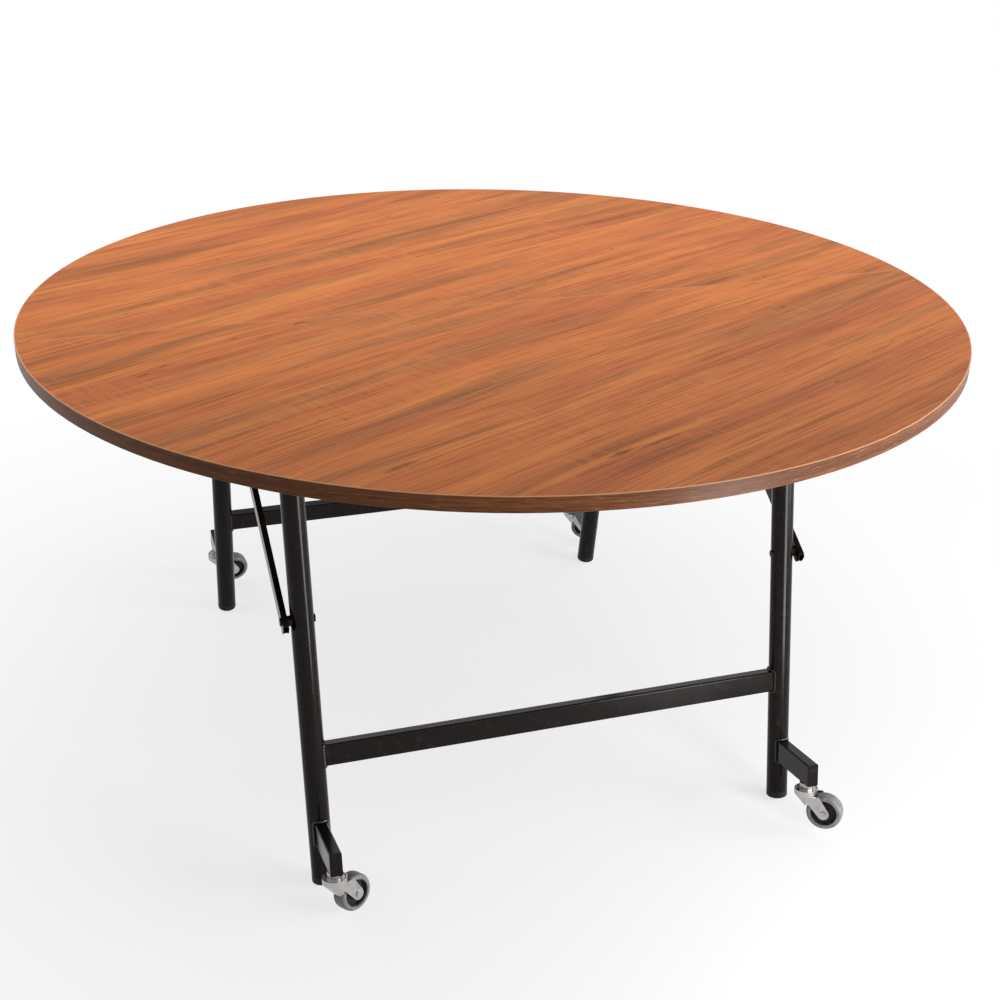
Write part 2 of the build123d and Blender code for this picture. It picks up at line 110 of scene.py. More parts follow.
class LaminateSettings(PropertyGroup):
    """Wood-print laminate of the tops and the band on their edge."""
    grain_angle: FloatProperty(name="Grain angle", description="Direction of the printed grain from +X",
                               default=math.radians(117.3), subtype="ANGLE")
    tan: FloatVectorProperty(name="Tan", description="Main colour of the print", size=3,
                             subtype="COLOR", default=linear("#bd6c38"))
    orange: FloatVectorProperty(name="Orange", description="Bright streaks of the print", size=3,
                                subtype="COLOR", default=linear("#cc7b3e"))
    rose: FloatVectorProperty(name="Rose brown", description="Reddish bands of the print", size=3,
                              subtype="COLOR", default=linear("#ab5c33"))
    olive: FloatVectorProperty(name="Olive brown", description="Greenish bands of the print", size=3,
                               subtype="COLOR", default=linear("#925e36"))
    dark: FloatVectorProperty(name="Dark streaks", description="Dark streaks and marks of the print", size=3,
                              subtype="COLOR", default=linear("#562e15"))
    band: FloatVectorProperty(name="Edge band", description="Main colour of the edge band", size=3,
                              subtype="COLOR", default=linear("#6c3f22"))
    band_dark: FloatVectorProperty(name="Edge band lines", description="Dark lines along the edge band",
                                   size=3, subtype="COLOR", default=linear("#3f2312"))
    rim_line: FloatVectorProperty(name="Rim line", description="Pale line where band and laminate meet",
                                  size=3, subtype="COLOR", default=linear("#c9a585"))


class SteelSettings(PropertyGroup):
    """Enamelled tube, plated hardware and casters."""
    enamel: FloatVectorProperty(name="Enamel", description="Black baked enamel of the tubes", size=3,
                                subtype="COLOR", default=linear("#110c0a"))
    zinc: FloatVectorProperty(name="Zinc", description="Plating of forks, bolts and nuts", size=3,
                              subtype="COLOR", default=linear("#b3b1af"))
    # The weld colour is lighter than the tube enamel as a painted highlight on the beads.
    weld: FloatVectorProperty(name="Weld", description="Enamel over the rough weld beads", size=3,
                              subtype="COLOR", default=linear("#1c1715"))
    tyre: FloatVectorProperty(name="Tyre", description="Grey rubber of the treads", size=3,
                              subtype="COLOR", default=linear("#5d5c5e"))
    weld_radius: FloatProperty(name="Weld bead", description="Radius of the weld beads", default=2.6 * MM,
                               unit="LENGTH")
    weld_ripple: FloatProperty(name="Weld ripple", description="Length of one ripple of a bead",
                               default=4.0 * MM, unit="LENGTH")
    screw_radius: FloatProperty(name="Screw head", description="Radius of the wood screws' heads",
                                default=4.0 * MM, unit="LENGTH")


class StageSettings(PropertyGroup):
    """Floor and lights."""
    floor: FloatVectorProperty(name="Floor", description="Pale studio floor", size=3, subtype="COLOR",
                               default=linear("#f6f6f6"))
    top: FloatProperty(name="Top light", description="Power of the light overhead",
                       default=31.5, unit="POWER")
    strip: FloatProperty(name="Strip light", description="Power of the upright strip at the front right",
                         default=13.5, unit="POWER")
    side: FloatProperty(name="Side light", description="Power of the broad light on the right",
                        default=80.0, unit="POWER")
    ambient: FloatProperty(name="Ambient", description="Strength of the white room", default=0.30)


# Material building

# Sockets of a colour Mix node, which share their names with its other sockets
MIX_FACTOR = 0
MIX_BELOW = 6
MIX_ABOVE = 7
MIX_RESULT = 2


def fill(node, inputs):
    """Set a node's inputs, by name or number, or link those that come from another node."""
    for name, value in inputs.items():
        socket = node.inputs[name]
        if isinstance(value, bpy.types.NodeSocket):
            node.id_data.links.new(value, socket)
        else:
            socket.default_value = value


def add_node(tree, kind, inputs=None, **settings):
    """Add a node, set its properties, and fill its inputs."""
    node = tree.nodes.new(kind)
    for name, value in settings.items():
        setattr(node, name, value)
    fill(node, inputs or {})
    return node


def new_material(name):
    """A fresh material that has only its shader and output, then its tree and the shader."""
    material = bpy.data.materials.new(name)
    material.use_nodes = True
    return material, material.node_tree, material.node_tree.nodes["Principled BSDF"]


def millimetres(tree):
    """The piece's own coordinates, in millimetres."""
    coords = add_node(tree, "ShaderNodeTexCoord")
    return add_node(tree, "ShaderNodeVectorMath", {0: coords.outputs["Object"], "Scale": 1 / MM},
                    operation="SCALE").outputs[0]


def pattern(tree, place, along, across, seed=0.0, detail=2.0, roughness=0.5):
    """A soft random pattern whose marks are about this long and this wide, in millimetres."""
    mapped = add_node(tree, "ShaderNodeMapping", {
        "Vector": place, "Scale": (1 / along, 1 / across, 1 / across), "Location": (seed, seed, seed)})
    return add_node(tree, "ShaderNodeTexNoise", {
        "Vector": mapped.outputs[0], "Scale": 1.0, "Detail": detail, "Roughness": roughness}).outputs[0]


def ink(tree, below, colour, mask, start, full, strength=1.0):
    """Lay a colour over what is below where a pattern runs from start to full."""
    amount = add_node(tree, "ShaderNodeMapRange", {
        "Value": mask, "From Min": start, "From Max": full, "To Min": 0.0, "To Max": strength},
        interpolation_type="SMOOTHSTEP").outputs[0]
    under = below if isinstance(below, bpy.types.NodeSocket) else (*below, 1.0)
    return add_node(tree, "ShaderNodeMix", {
        MIX_FACTOR: amount, MIX_BELOW: under, MIX_ABOVE: (*colour, 1.0)},
        data_type="RGBA").outputs[MIX_RESULT]


def seen_plain(tree):
    """One for camera, gloss and glass rays, which see a surface, and zero for those that it lights."""
    path = add_node(tree, "ShaderNodeLightPath")
    seen = path.outputs["Is Camera Ray"]
    for ray in ("Is Glossy Ray", "Is Transmission Ray"):
        seen = add_node(tree, "ShaderNodeMath", {0: seen, 1: path.outputs[ray]},
                        operation="MAXIMUM").outputs[0]
    return seen


# Wood print of the tops

class PrintLayer(NamedTuple):
    """One ink of the print: its marks in millimetres, and where in their pattern it starts and is full."""
    colour: str
    along: float
    across: float
    seed: float
    start: float
    full: float
    strength: float
    detail: float = 2.0


# Bands and streaks, in the order in which they are laid
PRINT_LAYERS = (
    PrintLayer("olive", along=620, across=66, seed=17.0, start=0.50, full=0.68, strength=0.65),
    PrintLayer("orange", along=800, across=58, seed=9.0, start=0.48, full=0.70, strength=0.65),
    PrintLayer("rose", along=620, across=24, seed=41.0, start=0.50, full=0.32, strength=0.32, detail=3.0),
    PrintLayer("orange", along=420, across=17, seed=23.0, start=0.54, full=0.78, strength=0.25),
    PrintLayer("dark", along=1000, across=62, seed=31.0, start=0.47, full=0.26, strength=0.50),
    PrintLayer("dark", along=560, across=24, seed=5.3, start=0.41, full=0.26, strength=0.36),
    PrintLayer("dark", along=360, across=9, seed=47.0, start=0.38, full=0.24, strength=0.24),
)

# How far the streaks wander to each side, in millimetres
GRAIN_DRIFT = 14.0

# Knot marks near the front rim, in millimetres: along the grain, across it, half length, half width
FRONT_KNOT_MARKS = ((-327, -567, 24, 7), (-250, -574, 58, 5), (-566, -389, 32, 6))

# The two printed sheets, cut from different stretches of the print: the pattern's seed and the knot marks
SHEETS = {"back": (0.0, ()), "front": (40.0, FRONT_KNOT_MARKS)}


def printed_grain(tree, grain_angle, sheet):
    """Coordinates along and across the printed grain, in millimetres."""
    turned = add_node(tree, "ShaderNodeVectorRotate", {
        "Vector": millimetres(tree), "Angle": -grain_angle}, rotation_type="Z_AXIS").outputs[0]
    # A slow drift keeps the streaks from running dead straight.
    wander = pattern(tree, turned, along=800, across=320, seed=sheet + 3.1, detail=1.0)
    drift = add_node(tree, "ShaderNodeMapRange", {
        "Value": wander, "From Min": 0.25, "From Max": 0.75, "To Min": -GRAIN_DRIFT, "To Max": GRAIN_DRIFT})
    sideways = add_node(tree, "ShaderNodeCombineXYZ", {"Y": drift.outputs[0]}).outputs[0]
    return add_node(tree, "ShaderNodeVectorMath", {0: turned, 1: sideways}, operation="ADD").outputs[0]


def knot_mark(tree, grain, along, across, length, width):
    """How far off a dark mark of the print a point is, one at the mark's rim."""
    away = add_node(tree, "ShaderNodeVectorMath", {0: grain, 1: (along, across, 0)},
                    operation="SUBTRACT").outputs[0]
    shape = add_node(tree, "ShaderNodeVectorMath", {0: away, 1: (1 / length, 1 / width, 0)},
                     operation="MULTIPLY").outputs[0]
    return add_node(tree, "ShaderNodeVectorMath", {0: shape}, operation="LENGTH").outputs["Value"]


def wood_print(settings, name, sheet, knot_marks):
    """Melamine laminate with a printed straight-grained wood, pressed between satin plates.

    The print gives long soft bands of tan, rose and olive, with thin orange and dark streaks. The
    plates give a satin sheen, a little duller along the pores.
    """
    material, tree, shader = new_material(name)
    grain = printed_grain(tree, settings.grain_angle, sheet)
    hue = pattern(tree, grain, along=1400, across=110, seed=sheet)
    colour = ink(tree, settings.rose, settings.tan, hue, start=0.36, full=0.60)
    for layer in PRINT_LAYERS:
        mask = pattern(tree, grain, layer.along, layer.across, sheet + layer.seed, layer.detail)
        colour = ink(tree, colour, getattr(settings, layer.colour), mask,
                     layer.start, layer.full, layer.strength)
    # Printed pores are usually under 1 mm wide; they are drawn 1.4 mm wide so that they show.
    pores = pattern(tree, grain, along=120, across=1.4, seed=sheet + 1.9, detail=1.0)
    colour = ink(tree, colour, settings.dark, pores, start=0.50, full=0.32, strength=0.52)
    colour = ink(tree, colour, settings.orange, pores, start=0.52, full=0.72, strength=0.25)
    # Short dark marks, like the ends of small knots
    ends = pattern(tree, grain, along=46, across=12, seed=sheet + 61.0, detail=1.0)
    colour = ink(tree, colour, settings.dark, ends, start=0.225, full=0.17, strength=0.85)
    # Small knots, each a drawn-out dark mark with a ragged rim
    ragged = pattern(tree, grain, along=18, across=4, seed=sheet + 93.0)
    for along, across, length, width in knot_marks:
        rim = add_node(tree, "ShaderNodeMath", {
            0: knot_mark(tree, grain, along, across, length, width), 1: ragged}, operation="ADD")
        colour = ink(tree, colour, settings.dark, rim.outputs[0], start=1.75, full=0.80, strength=0.65)
    # A faint ripple across the grain, in patches
    ripple = add_node(tree, "ShaderNodeMath", {
        0: pattern(tree, grain, along=7, across=46, seed=sheet + 71.0),
        1: pattern(tree, grain, along=240, across=130, seed=sheet + 83.0)}, operation="MULTIPLY")
    colour = ink(tree, colour, settings.orange, ripple.outputs[0], start=0.27, full=0.40, strength=0.22)

    sheen = add_node(tree, "ShaderNodeMapRange", {
        "Value": pores, "From Min": 0.25, "From Max": 0.75, "To Min": 0.52, "To Max": 0.42})
    dents = add_node(tree, "ShaderNodeBump", {"Height": pores, "Strength": 0.10, "Distance": 0.06 * MM})
    # The studio looks white in every gloss, so the specular level is set far below a real laminate's to
    # keep its haze off the print. It is matched to the photograph, and isn't a measured value.
    fill(shader, {"Base Color": colour, "Roughness": sheen.outputs[0], "Normal": dents.outputs[0],
                  "IOR": 1.5, "Specular IOR Level": 0.045})
    return material


# How far under the top the band begins to turn orange and is at its most orange, in millimetres
CORNER_ORANGE_BEGINS = 1.3
CORNER_ORANGE_FULL = 0.7
# The pale rim line keeps this close to the rim and to the top, in millimetres
RIM_LINE_WIDTH = 3
RIM_LINE_DEPTH = 1


def band_print(settings):
    """ABS edge band with a darker wood print, extruded, glued on and trimmed.

    Fine dark lines run round the rim, and a pale line runs along the upper corner.
    """
    material, tree, shader = new_material("wood_print_abs_edge_band")
    rim, top = TOP_RADIUS / MM, TABLE_HEIGHT / MM
    place = millimetres(tree)
    parts = add_node(tree, "ShaderNodeSeparateXYZ", {0: place})
    height = parts.outputs["Z"]
    angle = add_node(tree, "ShaderNodeMath", {0: parts.outputs["Y"], 1: parts.outputs["X"]},
                     operation="ARCTAN2").outputs[0]
    around = add_node(tree, "ShaderNodeMath", {0: angle, 1: rim}, operation="MULTIPLY").outputs[0]
    strip = add_node(tree, "ShaderNodeCombineXYZ", {"X": around, "Y": height}).outputs[0]

    clouds = pattern(tree, strip, along=420, across=10, seed=2.0)
    # Such lines and flecks are usually under 1 mm wide; they are drawn about 1.5 mm wide so that they show.
    lines = pattern(tree, strip, along=60, across=1.5, seed=4.0, roughness=0.6)
    flecks = pattern(tree, strip, along=30, across=1.6, seed=8.0, roughness=0.7)
    colour = ink(tree, settings.band, settings.band_dark, clouds, start=0.58, full=0.36, strength=0.55)
    colour = ink(tree, colour, settings.band_dark, lines, start=0.54, full=0.34, strength=0.80)
    colour = ink(tree, colour, settings.rim_line, flecks, start=0.58, full=0.76, strength=0.30)

    # The upper corner is pale at the round rim and close to the laminate's orange at the seam.
    colour = ink(tree, colour, settings.orange, height, top - CORNER_ORANGE_BEGINS, top - CORNER_ORANGE_FULL, strength=0.7)
    flat = add_node(tree, "ShaderNodeVectorMath", {0: place, 1: (1, 1, 0)}, operation="MULTIPLY").outputs[0]
    radius = add_node(tree, "ShaderNodeVectorMath", {0: flat}, operation="LENGTH").outputs["Value"]
    near_rim = add_node(tree, "ShaderNodeMath", {0: radius, 1: rim - RIM_LINE_WIDTH}, operation="SUBTRACT")
    near_top = add_node(tree, "ShaderNodeMath", {0: height, 1: top - RIM_LINE_DEPTH}, operation="SUBTRACT")
    corner = add_node(tree, "ShaderNodeMath", {0: near_rim.outputs[0], 1: near_top.outputs[0]},
                      operation="MINIMUM")
    colour = ink(tree, colour, settings.rim_line, corner.outputs[0], start=-0.1, full=0.4, strength=0.55)

    dents = add_node(tree, "ShaderNodeBump", {"Height": lines, "Strength": 0.15, "Distance": 0.08 * MM})
    fill(shader, {"Base Color": colour, "Roughness": 0.38, "Normal": dents.outputs[0],
                  "IOR": 1.5, "Specular IOR Level": 0.12})
    return material


def backer_paper():
    """Brown phenolic backer paper on the underside of the board, pressed flat and dull."""
    material, tree, shader = new_material("brown_phenolic_backer")
    place = millimetres(tree)
    # Paper fibres are far finer; they are drawn 4 mm wide so that they show.
    fibres = pattern(tree, place, along=30, across=4, seed=1.0, detail=3.0, roughness=0.6)
    stains = pattern(tree, place, along=220, across=160, seed=5.0)
    colour = ink(tree, linear("#5f4634"), linear("#765940"), fibres, start=0.3, full=0.7)
    colour = ink(tree, colour, linear("#4f3a2b"), stains, start=0.40, full=0.65, strength=0.5)
    fill(shader, {"Base Color": colour, "Roughness": 0.62, "IOR": 1.5})
    return material


def black_enamel(name, colour, specular):
    """Black baked enamel, sprayed on drawn steel tube and stoved.

    It carries a narrow streak of light along a tube, with a faint orange-peel ripple and a little
    dust. The specular level is set low, as the laminate's is, against the white studio's haze.
    """
    material, tree, shader = new_material(name)
    place = millimetres(tree)
    dust = pattern(tree, place, along=14, across=14, seed=4.0, detail=3.0, roughness=0.7)
    patches = pattern(tree, place, along=60, across=60, seed=9.0)
    # Orange peel 2.5 mm across
    peel = pattern(tree, place, along=2.5, across=2.5)
    colour = ink(tree, colour, linear("#2b2725"), dust, start=0.52, full=0.80, strength=0.6)
    gloss = add_node(tree, "ShaderNodeMapRange", {
        "Value": patches, "From Min": 0.3, "From Max": 0.7, "To Min": 0.15, "To Max": 0.21})
    dents = add_node(tree, "ShaderNodeBump", {"Height": peel, "Strength": 0.05, "Distance": 0.1 * MM})
    fill(shader, {"Base Color": colour, "Roughness": gloss.outputs[0], "Normal": dents.outputs[0],
                  "IOR": 1.45, "Specular IOR Level": specular})
    return material


def zinc_plate(settings):
    """Bright zinc plate on pressed steel: a soft grey metal, a little cloudy and scuffed."""
    material, tree, shader = new_material("bright_zinc_plate")
    place = millimetres(tree)
    clouds = pattern(tree, place, along=14, across=14)
    # Handling scuffs are usually finer; they are drawn 0.5 mm wide so that they show.
    scuffs = pattern(tree, place, along=5, across=0.5, seed=6.0, roughness=0.6)
    colour = ink(tree, settings.zinc, linear("#9a9795"), clouds, start=0.45, full=0.80)
    dullness = add_node(tree, "ShaderNodeMapRange", {
        "Value": scuffs, "From Min": 0.3, "From Max": 0.7, "To Min": 0.18, "To Max": 0.30})
    fill(shader, {"Base Color": colour, "Roughness": dullness.outputs[0], "Metallic": 1.0})
    return material


def grey_tyre(settings):
    """Grey thermoplastic rubber, moulded: matt, with a faint bloom and dust."""
    material, tree, shader = new_material("grey_moulded_rubber")
    place = millimetres(tree)
    bloom = pattern(tree, place, along=9, across=9, detail=3.0, roughness=0.6)
    # Moulded grit is usually finer; it is drawn 1.2 mm across so that it shows.
    grit = pattern(tree, place, along=1.2, across=1.2, seed=3.0)
    colour = ink(tree, settings.tyre, linear("#858487"), bloom, start=0.42, full=0.75, strength=0.6)
    dents = add_node(tree, "ShaderNodeBump", {"Height": grit, "Strength": 0.1, "Distance": 0.1 * MM})
    fill(shader, {"Base Color": colour, "Roughness": 0.5, "Normal": dents.outputs[0], "IOR": 1.52})
    return material


def black_polypropylene():
    """Black polypropylene, injection moulded with a fine spark texture: dark and satin."""
    material, tree, shader = new_material("black_moulded_polypropylene")
    place = millimetres(tree)
    wear = pattern(tree, place, along=12, across=12, seed=2.0)
    # Spark texture is usually finer; it is drawn 0.7 mm across so that it shows.
    spark = pattern(tree, place, along=0.7, across=0.7)
    colour = ink(tree, linear("#151315"), linear("#242123"), wear, start=0.3, full=0.7)
    dents = add_node(tree, "ShaderNodeBump", {"Height": spark, "Strength": 0.12, "Distance": 0.05 * MM})
    fill(shader, {"Base Color": colour, "Roughness": 0.45, "Normal": dents.outputs[0],
                  "IOR": 1.49, "Specular IOR Level": 0.15})
    return material


def give(material, *nodes):
    """Put a material in every slot of these CAD nodes."""
    for name in nodes:
        for slot in frame["nodes"][name].material_slots:
            slot.material = material


# Meshes

# Faces that meet at more than this angle keep a sharp edge
SHARP_ANGLE = math.radians(40)


def shaped_piece(name, shape, material, body):
    """Turn a bmesh into a smooth piece that rides on a body."""
    bmesh.ops.recalc_face_normals(shape, faces=shape.faces)
    mesh = bpy.data.meshes.new(name)
    shape.to_mesh(mesh)
    shape.free()
    for face in mesh.polygons:
        face.use_smooth = True
    mesh.set_sharp_from_angle(angle=SHARP_ANGLE)
    mesh.materials.append(material)
    piece = bpy.data.objects.new(name, mesh)
    bpy.context.scene.collection.objects.link(piece)
    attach(piece, body)


def skin(shape, rings, closed):
    """Join rings of points with faces, and join the last ring to the first if closed."""
    rows = [[shape.verts.new(point) for point in ring] for ring in rings]
    pairs = list(zip(rows, rows[1:]))
    if closed:
        pairs.append((rows[-1], rows[0]))
    for near, far in pairs:
        for i in range(len(near)):
            shape.faces.new((near[i - 1], near[i], far[i], far[i - 1]))
    return rows


# Turns of the points on a tube's rounded corner, in degrees
CORNER_TURNS = (0, 22.5, 45, 67.5, 90)


def oblong_round(section, step):
    """Points round an oblong tube and the way out at each: (across, up, out across, out up)."""
    half_width = section[0] / 2 - TUBE_CORNER
    half_height = section[1] / 2 - TUBE_CORNER
    corners = [(half_width, half_height), (-half_width, half_height),
               (-half_width, -half_height), (half_width, -half_height)]
    points = []
    for quarter, (across, up) in enumerate(corners):
        for turn in CORNER_TURNS:
            angle = math.radians(90 * quarter + turn)
            out_across, out_up = math.cos(angle), math.sin(angle)
            points.append((across + TUBE_CORNER * out_across, up + TUBE_CORNER * out_up, out_across, out_up))
        start_across, start_up, out_across, out_up = points[-1]
        ahead = corners[(quarter + 1) % 4]
        run = (ahead[0] - across, ahead[1] - up)
        count = int(math.hypot(*run) / step)
        points += [(start_across + run[0] * i / count, start_up + run[1] * i / count, out_across, out_up)
                   for i in range(1, count)]
    return points


# Shares of a weld bead's radius: its middle's distance from the tube and from the post, half the depth of
# its ripples, and how uneven they are
BEAD_OFF_TUBE_SHARE = 0.5
BEAD_OFF_POST_SHARE = 0.2
BEAD_RIPPLE_SHARE = 0.12
BEAD_UNEVEN_SHARE = 0.04
# Points round a bead and along each of its ripples
BEAD_SIDES = 8
POINTS_IN_RIPPLE = 4


def weld_bead(shape, section, to_place, settings, chance):
    """A rippled bead round the end of an oblong tube, where it meets the round post.

    to_place carries (distance from the post's middle, across, up) to the table's frame.
    """
    radius = settings.weld_radius
    path = []
    for across, up, out_across, out_up in oblong_round(section, settings.weld_ripple / POINTS_IN_RIPPLE):
        across += out_across * radius * BEAD_OFF_TUBE_SHARE
        up += out_up * radius * BEAD_OFF_TUBE_SHARE
        away = math.sqrt(POST_RADIUS ** 2 - across ** 2) + radius * BEAD_OFF_POST_SHARE
        path.append((Vector((away, across, up)), Vector((0, out_across, out_up))))
    rings = []
    length = 0.0
    for i, (centre, out) in enumerate(path):
        if i > 0:
            length += (centre - path[i - 1][0]).length
        wave = BEAD_RIPPLE_SHARE * (math.sin(2 * math.pi * length / settings.weld_ripple) - 1)
        thickness = radius * (1 + wave + chance.uniform(-BEAD_UNEVEN_SHARE, BEAD_UNEVEN_SHARE))
        ahead = (path[(i + 1) % len(path)][0] - path[i - 1][0]).normalized()
        side = ahead.cross(out).normalized()
        turns = [math.radians(360 * turn / BEAD_SIDES) for turn in range(BEAD_SIDES)]
        rings.append([to_place(centre + (out * math.cos(a) + side * math.sin(a)) * thickness) for a in turns])
    skin(shape, rings, closed=True)


# Rings of a pan head, from the sheet that it holds to the bottom of its cross recess: how far out and how
# far down as shares of the head's radius, and how far out the recess's sides are as a share of its arms
HEAD_RING_SHARES = ((1.0, 0.0, 1.0), (1.0, 0.25, 1.0), (0.85, 0.48, 1.0), (0.62, 0.56, 1.0),
                    (0.45, 0.58, 0.35), (0.38, 0.30, 0.35))
HEAD_POINTS = 16
RECESS_ARMS = 4


def screw_head(shape, place, radius):
    """A pan head with a cross recess, facing down from this place."""
    rings = []
    for out, down, inner in HEAD_RING_SHARES:
        ring = []
        for turn in range(HEAD_POINTS):
            on_arm = turn % (HEAD_POINTS // RECESS_ARMS) == 0
            reach = radius * out * (1.0 if on_arm else inner)
            angle = math.radians(360 * turn / HEAD_POINTS)
            ring.append(place + Vector((reach * math.cos(angle), reach * math.sin(angle), -down * radius)))
        rings.append(ring)
    rows = skin(shape, rings, closed=False)
    shape.faces.new(rows[-1])
    shape.faces.new(rows[0])


def leg_frame(end):
    """The matrix that carries the upright leg frame, foot at the origin, to its leaning place."""
    place = Matrix.Translation((FOOT_X, FRAME_MIDDLE, FOOT_HEIGHT)) @ Matrix.Rotation(-LEAN, 4, "Y")
    return place if end == "front" else Matrix.Scale(-1, 4, (1, 0, 0)) @ place


# Pieces

class TABLE_OT_tops(Operator):
    """Finish the two tops: wood print, edge band and backer paper."""
    bl_idname = "table.tops"
    bl_label = "Tops"

    def execute(self, context):
        settings = context.scene.table_laminate
        band = band_print(settings)
        paper = backer_paper()
        for end, (sheet, knot_marks) in SHEETS.items():
            laminate = wood_print(settings, f"wood_print_melamine_laminate_{end}", sheet, knot_marks)
            give(laminate, f"{end}_laminate")
            give(band, f"{end}_edge_band")
            give(paper, f"{end}_board")
        return {"FINISHED"}


class TABLE_OT_steelwork(Operator):
    """Finish the enamelled frames, braces and brackets, and their bolts."""
    bl_idname = "table.steelwork"
    bl_label = "Steelwork"

    def execute(self, context):
        settings = context.scene.table_steel
        enamel = black_enamel("black_baked_enamel", settings.enamel, specular=0.15)
        zinc = zinc_plate(settings)
        for end in ENDS:
            give(enamel, f"{end}_crossbar", f"{end}_hinge_leaves", f"{end}_leg_brackets",
                 f"{end}_brace_bolts", f"{end}_brace_brackets", f"{end}_inner_cross_rail",
                 f"{end}_outer_cross_rail")
            give(zinc, f"{end}_pivot_bolts")
            for side in SIDES:
                give(enamel, f"{end}_{side}_post", f"{end}_{side}_caster_arm", f"{end}_{side}_brace",
                     f"{end}_{side}_rail")
        give(zinc, "seam_hinge_bolts")
        return {"FINISHED"}


class TABLE_OT_welds(Operator):
    """Lay weld beads where the crossbars and caster arms meet the posts."""
    bl_idname = "table.welds"
    bl_label = "Weld beads"

    def execute(self, context):
        settings = context.scene.table_steel
        # The bead enamel is a lighter copy of the tube enamel: a painted highlight on the beads.
        enamel = black_enamel("black_enamel_on_weld", settings.weld, specular=0.35)
        for end in ENDS:
            chance = random.Random(end)
            shape = bmesh.new()
            for way in SIDES.values():
                self.crossbar_end(shape, end, way, settings, chance)
                self.arm_end(shape, end, way, settings, chance)
            shaped_piece(f"{end}_weld_beads", shape, enamel, f"{end}_leg")
        return {"FINISHED"}

    def crossbar_end(self, shape, end, way, settings, chance):
        """The crossbar meets the inner side of a post."""
        place = leg_frame(end)

        def to_place(point):
            away, across, up = point
            return place @ Vector((across, way * (POST_CENTRE - away), CROSSBAR_UP_POST + up))

        weld_bead(shape, CROSSBAR_SECTION, to_place, settings, chance)

    def arm_end(self, shape, end, way, settings, chance):
        """The caster arm meets the side of a post that is away from the seam."""
        place = leg_frame(end)

        def to_place(point):
            away, across, up = point
            return place @ Vector((away, way * POST_CENTRE + across, ARM_UP_POST + up))

        weld_bead(shape, ARM_SECTION, to_place, settings, chance)


class TABLE_OT_screws(Operator):
    """Drive wood screws through the brackets and rails into the tops."""
    bl_idname = "table.screws"
    bl_label = "Wood screws"

    # Steps from a bracket's middle to its screws
    leg_bracket_x = 27 * MM
    leg_bracket_y = 30 * MM
    brace_bracket_x = 14 * MM
    # From the outer side of a brace bracket to its screws: the flange's free part is on the inner side of
    # the lug under the front half, and on the outer side under the back half
    brace_bracket_inset = {"front": LUG_THICKNESS + LUG_FREE_FLANGE / 2, "back": LUG_FREE_FLANGE / 2}
    # Screws of a rail, as shares of its length from the seam
    rail_shares = (0.14, 0.52, 0.90)

    def execute(self, context):
        settings = context.scene.table_steel
        zinc = zinc_plate(settings)
        for end, ahead in ENDS.items():
            shape = bmesh.new()
            for place in (*self.leg_bracket_places(ahead), *self.brace_bracket_places(end),
                          *self.rail_places(end, ahead)):
                screw_head(shape, place, settings.screw_radius)
            shaped_piece(f"{end}_wood_screws", shape, zinc, f"{end}_half")
        return {"FINISHED"}

    def leg_bracket_places(self, ahead):
        """Two on each side of each post's bracket."""
        for way in SIDES.values():
            for along in (-self.leg_bracket_x, self.leg_bracket_x):
                for across in (-self.leg_bracket_y, self.leg_bracket_y):
                    yield Vector((ahead * PIVOT.x + along, FRAME_MIDDLE + way * POST_CENTRE + across,
                                  UNDERSIDE - BRACKET_SHEET))

    def brace_bracket_places(self, end):
        """Two through each bracket's flange, on the side of its lug that is away from the brace."""
        low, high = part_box(f"{end}_brace_brackets")
        reach = (high.y - low.y) / 2 - self.brace_bracket_inset[end]
        for way in SIDES.values():
            for along in (-self.brace_bracket_x, self.brace_bracket_x):
                yield Vector(((low.x + high.x) / 2 + along, FRAME_MIDDLE + way * reach,
                              UNDERSIDE - BRACKET_SHEET))

    def rail_places(self, end, ahead):
        """Three along each rail."""
        low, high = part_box(f"{end}_left_rail")
        near, far = sorted((abs(low.x), abs(high.x)))
        for way in SIDES.values():
            for share in self.rail_shares:
                yield Vector((ahead * (near + (far - near) * share), FRAME_MIDDLE + way * RAIL_CENTRE,
                              RAIL_UNDERSIDE))


class TABLE_OT_casters(Operator):
    """Finish the casters and the foot caps."""
    bl_idname = "table.casters"
    bl_label = "Casters and feet"

    def execute(self, context):
        settings = context.scene.table_steel
        zinc = zinc_plate(settings)
        tyre = grey_tyre(settings)
        plastic = black_polypropylene()
        for end in ENDS:
            give(zinc, f"{end}_caster_stems")
            give(plastic, f"{end}_foot_caps")
            for side in SIDES:
                give(zinc, f"{end}_{side}_caster_fork", f"{end}_{side}_caster_axle")
                give(plastic, f"{end}_{side}_caster_hub")
                give(tyre, f"{end}_{side}_caster_tyre")
        return {"FINISHED"}


# Stage, in metres

CAMERA_PLACE = Vector((2.37497, -0.77523, 1.54848))
CAMERA_TURN = Euler([math.radians(a) for a in (62.2407, -1.4380, 71.0668)], "XYZ")
CAMERA_SHIFT = (-0.03176, 0.08075)
# Focal length and sensor width in millimetres
CAMERA_LENS = 56.421
SENSOR = 36.0

# Where each light stands, what it is turned to, and its width and height
LIGHTS = {
    "top": {"place": (-0.4, 0.0, 1.8), "aim": (-0.25, 0.0, 0.7), "width": 4.0, "height": 0.9},
    "strip": {"place": (1.5, 0.6, 0.37), "aim": (0.4, 0.0, 0.37), "width": 0.32, "height": 0.7},
    "side": {"place": (1.7, 2.5, 0.9), "aim": (0.0, 0.0, 0.5), "width": 1.8, "height": 1.7},
}

FLOOR_RADIUS = 40.0
FLOOR_SIDES = 96
# Distances from the table's middle between which the floor fades to white, and how white it is up to there
FADE_STARTS = 0.7
FADE_ENDS = 1.9
NEAR_WHITE_SHARE = 0.7


